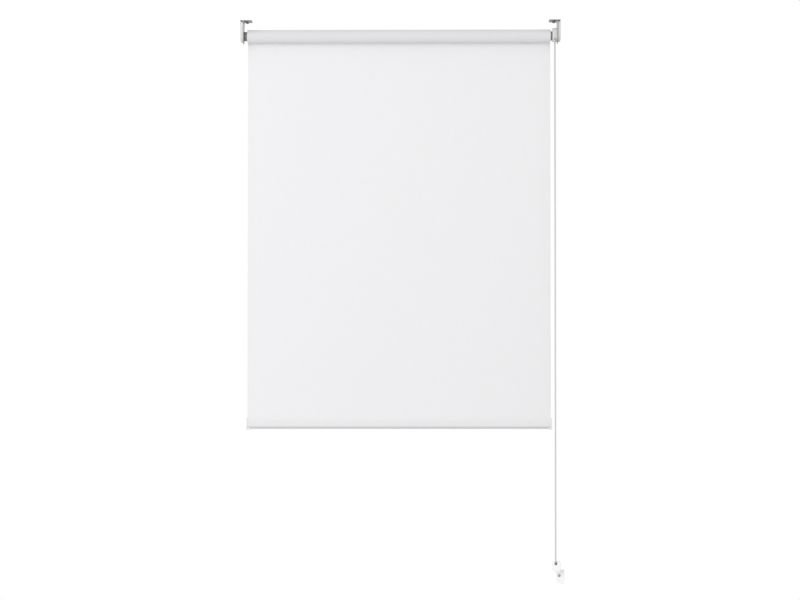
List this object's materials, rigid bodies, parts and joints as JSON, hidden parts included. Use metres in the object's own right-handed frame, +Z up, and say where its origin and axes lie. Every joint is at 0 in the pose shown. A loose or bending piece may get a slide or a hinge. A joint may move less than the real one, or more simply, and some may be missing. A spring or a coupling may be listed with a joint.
{
  "type": "roller blind",
  "caption": "White roller blind between two ceiling brackets, worked by a bead chain that runs down to a wall-fixed tensioner.",
  "frame": {"origin": "on the ceiling plane, above the middle of the roller", "axes": "+X along the roller to the chain side, +Y towards the wall behind the blind, +Z up"},
  "size_m": [0.8535, 0.048, 1.4839],
  "materials": {
    "bracket_steel": "zinc-plated pressed sheet",
    "white_plastic": "satin moulded",
    "grey_plastic": "satin moulded",
    "fabric": "fine plain weave, coated back",
    "aluminium": "extruded, satin",
    "spring_steel": "drawn wire",
    "screw_steel": "blackened",
    "chain": "moulded beads",
    "tape": "adhesive film"
  },
  "bodies": {
    "mount": {"left_bracket": "bracket_steel", "right_bracket": "bracket_steel", "left_bracket_cover": "white_plastic", "right_bracket_cover": "white_plastic", "left_ceiling_screw_front": "screw_steel", "left_ceiling_screw_rear": "screw_steel", "right_ceiling_screw_front": "screw_steel", "right_ceiling_screw_rear": "screw_steel", "idle_socket": "grey_plastic", "idle_socket_clip": "spring_steel", "clutch_core": "grey_plastic", "clutch_screw": "screw_steel", "chain_guard_inner": "white_plastic", "chain_guard_outer": "white_plastic", "chain_front_strand": "chain", "chain_rear_strand": "chain", "tensioner_base": "white_plastic", "tensioner_cover": "white_plastic", "tensioner_axle": "spring_steel", "tensioner_screw": "screw_steel"},
    "roller": {"idle_end_plug": "white_plastic", "spring_seat": "grey_plastic", "roller_tube": "aluminium", "fabric_roll": "fabric", "fabric_tape": "tape", "drive_hub": "white_plastic", "drive_collar": "grey_plastic"},
    "chain_wheel": {"chain_wheel": "white_plastic", "wrap_spring_inner": "spring_steel", "wrap_spring_outer": "spring_steel", "chain_on_wheel": "chain"},
    "weighted_hem": {"hanging_fabric": "fabric", "hem_pocket": "fabric", "bottom_bar": "aluminium", "bar_end_cap_left": "white_plastic", "bar_end_cap_right": "white_plastic"},
    "tensioner_pulley": {"tensioner_pulley": "white_plastic", "chain_on_pulley": "chain"},
    "idle_pin": {"idle_pin": "spring_steel", "pin_spring": "spring_steel"}
  },
  "joints": [
    {"name": "roller_turn", "type": "hinge", "parent": "mount", "child": "roller", "pos_m": [0, 0, -0.041], "axis": [1, 0, 0], "range_deg": [-2160, 3240]},
    {"name": "chain_wheel_turn", "type": "hinge", "parent": "mount", "child": "chain_wheel", "pos_m": [0.4118, 0, -0.041], "axis": [1, 0, 0], "range_deg": [-2160, 3240]},
    {"name": "hem_lift", "type": "slide", "parent": "mount", "child": "weighted_hem", "axis": [0, 0, 1], "range_m": [-0.641, 0.9614], "deforming": ["hanging_fabric"]},
    {"name": "tensioner_pulley_turn", "type": "hinge", "parent": "mount", "child": "tensioner_pulley", "pos_m": [0.4118, 0.013, -1.43893], "axis": [1, 0, 0], "range_deg": [-4320, 6480]},
    {"name": "idle_pin_press", "type": "slide", "parent": "roller", "child": "idle_pin", "axis": [1, 0, 0], "range_m": [0, 0.006], "stiffness_N_per_m": 600, "springref_m": -0.006, "deforming": ["pin_spring"]}
  ],
  "couplings": [
    {"joint": "chain_wheel_turn", "follows": "roller_turn", "ratio": 1},
    {"joint": "hem_lift", "follows": "roller_turn", "m_per_rad": 0.017},
    {"joint": "tensioner_pulley_turn", "follows": "roller_turn", "ratio": 2}
  ]
}
